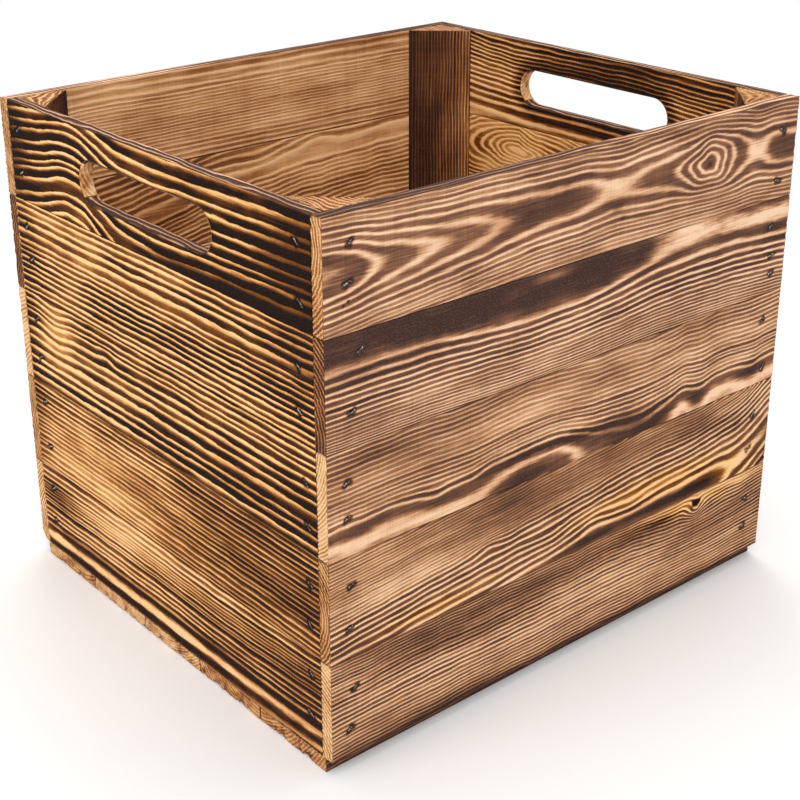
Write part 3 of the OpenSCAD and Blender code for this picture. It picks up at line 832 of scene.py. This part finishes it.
def postPlace(corner, xSide, ySide):
    # from the plank to the post: point = slant(v) + depth share * (walls(v) - slant(v))
    leg, drop = post["leg"], post["leg"] - post["nose"]

    def place(u, v, w):
        share, depth = v / slantLength, -w / post["thick"]
        slant = np.stack([leg - share * drop, post["nose"] + share * drop], -1)
        alongWalls = np.stack([np.clip(1 - 2 * share, 0, 1), np.clip(2 * share - 1, 0, 1)], -1) * leg
        flat = slant + depth[:, None] * (alongWalls - slant)
        x, y = corner[0] - xSide * flat[:, 0], corner[1] - ySide * flat[:, 1]
        return np.stack([x, y, corner[2] - u], -1)

    return place


postSides = {"front_left": (-1, -1), "front_right": (1, -1), "back_left": (-1, 1), "back_right": (1, 1)}
for number, (name, (xSide, ySide)) in enumerate(postSides.items()):
    node = "corner_post_" + name
    low, high = (np.array(corner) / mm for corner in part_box(node))
    corner, length = np.where(np.array([xSide, ySide, 1]) > 0, high, low), float(high[2] - low[2])
    along = stations(length, 3, 1.5, 7)
    surface = plankGrid(length, slantLength, post["thick"], post["rows"], along, post["bend"])
    grain, place = {**post["grain"], "seed": 81 + number}, postPlace(corner, xSide, ySide)
    dressBoard(node, grain, place, surface, (length, slantLength))
print("corner posts done")

# Galvanised staple wire: dull zinc with a glint along its top
steel = bpy.data.materials.new("galvanised staple wire")
tree = emptyTree(steel)
place = addNode(tree, "ShaderNodeTexCoord")
spots = addNode(tree, "ShaderNodeTexNoise", {"Scale": 900, "Detail": 2}, Vector=place.outputs["Object"])
zinc = colourRamp(tree, spots.outputs[0], [(.46, "#2c2620"), (.66, "#bdb5a8")])
rough = addNode(tree, "ShaderNodeMapRange", {"To Min": .22, "To Max": .45}, Value=spots.outputs[0])
metal = addNode(tree, "ShaderNodeBsdfPrincipled", {"Metallic": 1}, Base_Color=zinc,
                Roughness=rough.outputs[0])
addNode(tree, "ShaderNodeOutputMaterial", Surface=metal.outputs[0])
for name in ("front", "back", "left", "right", "floor"):
    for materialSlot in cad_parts[name + "_staples"].material_slots:
        materialSlot.material = steel
print("staples done")

# Studio: a white floor that keeps the shadow beside the crate and fades into the white background,
# even light from all round, and soft lamps
studio = {
    "floor": "#f7f7f7", "size": 6,                # m, from the middle to its edges
    "fade": (.35, 1.2),                           # m from the middle, where it starts and is done
    "fill": .68,                                  # strength of the even light
    "lamps": [                                    # name, place, size, watts, aim
        ("key", (-1.1, -1.5, 1.9), 1.4, 22, (0, 0, .15)),
        ("left", (-2.0, .3, 1.0), 1.2, 10, (0, 0, .15)),
        ("top", (.3, .2, 2.2), 1.6, 14, (0, 0, .1)),
        ("back", (1.1, 1.7, 1.5), 1.4, 10, (0, 0, .15)),
    ],
}
backdrop = bpy.data.materials.new("white studio floor")
tree = emptyTree(backdrop)
position = addNode(tree, "ShaderNodeTexCoord").outputs["Object"]
far = addNode(tree, "ShaderNodeVectorMath", {"operation": "LENGTH"}, i0=position).outputs["Value"]
fadeStart, fadeEnd = studio["fade"]
fading = {"interpolation_type": "SMOOTHSTEP", "From Min": fadeStart, "From Max": fadeEnd}
fade = addNode(tree, "ShaderNodeMapRange", fading, Value=far).outputs[0]
rays = addNode(tree, "ShaderNodeLightPath").outputs
shown = addNode(tree, "ShaderNodeMath", {"operation": "MULTIPLY"}, i0=fade, i1=rays["Is Camera Ray"])
paper = addNode(tree, "ShaderNodeBsdfDiffuse", {"Color": linear(studio["floor"])})
glow = addNode(tree, "ShaderNodeEmission", {"Color": (1, 1, 1, 1), "Strength": 1})
both = addNode(tree, "ShaderNodeMixShader", i0=shown.outputs[0], i1=paper.outputs[0], i2=glow.outputs[0])
addNode(tree, "ShaderNodeOutputMaterial", Surface=both.outputs[0])
reach = studio["size"]
groundMesh = bpy.data.meshes.new("studio floor")
groundMesh.from_pydata([(-reach, -reach, 0), (reach, -reach, 0), (reach, reach, 0), (-reach, reach, 0)],
                       [], [(0, 1, 2, 3)])
groundMesh.materials.append(backdrop)
ground = bpy.data.objects.new("studio_floor", groundMesh)
ground.location = (0, 0, -.0002)    # just below the crate, so that the two don't share a plane
bpy.context.scene.collection.objects.link(ground)

world = bpy.data.worlds.new("white studio")
bpy.context.scene.world = world
tree = emptyTree(world)
rays = addNode(tree, "ShaderNodeLightPath").outputs
direct = rays["Is Camera Ray"]
for other in ("Is Glossy Ray", "Is Transmission Ray"):
    either = addNode(tree, "ShaderNodeMath", {"operation": "MAXIMUM"}, i0=direct, i1=rays[other])
    direct = either.outputs[0]
even = addNode(tree, "ShaderNodeBackground", {"Color": (1, 1, 1, 1), "Strength": studio["fill"]})
white = addNode(tree, "ShaderNodeBackground", {"Color": (1, 1, 1, 1), "Strength": 1})
mixed = addNode(tree, "ShaderNodeMixShader", i0=direct, i1=even.outputs[0], i2=white.outputs[0])
addNode(tree, "ShaderNodeOutputWorld", Surface=mixed.outputs[0])

for name, spot, size, watts, aim in studio["lamps"]:
    light = bpy.data.lights.new(name, "AREA")
    light.shape, light.size, light.energy = "DISK", size, watts
    lamp = bpy.data.objects.new(name, light)
    lamp.location = spot
    lamp.rotation_euler = (Vector(aim) - Vector(spot)).to_track_quat("-Z", "Y").to_euler()
    bpy.context.scene.collection.objects.link(lamp)

# Camera fitted to the photograph's corners
view = {
    "place": (-.60857, -.71439, .54848),                # m
    "right": (.77124063, -.63649002, -.00826708),       # its three axes
    "down": (-.24645072, -.28660163, -.92580859),
    "ahead": (.58689857, .71605863, -.37790225),
    "sensor": 36, "lens": 68.8,                         # mm
    "shift": (.0377, -.0831),
}
lens = bpy.data.cameras.new("camera")
lens.sensor_width, lens.lens = view["sensor"], view["lens"]
lens.shift_x, lens.shift_y = view["shift"]
camera = bpy.data.objects.new("camera", lens)
axes = np.array([view["right"], -np.array(view["down"]), -np.array(view["ahead"])]).T
camera.matrix_world = Matrix.Translation(view["place"]) @ Matrix(axes.tolist()).to_4x4()
bpy.context.scene.collection.objects.link(camera)
bpy.context.scene.camera = camera
bpy.context.scene.view_settings.view_transform = "Standard"
print("light and camera done")
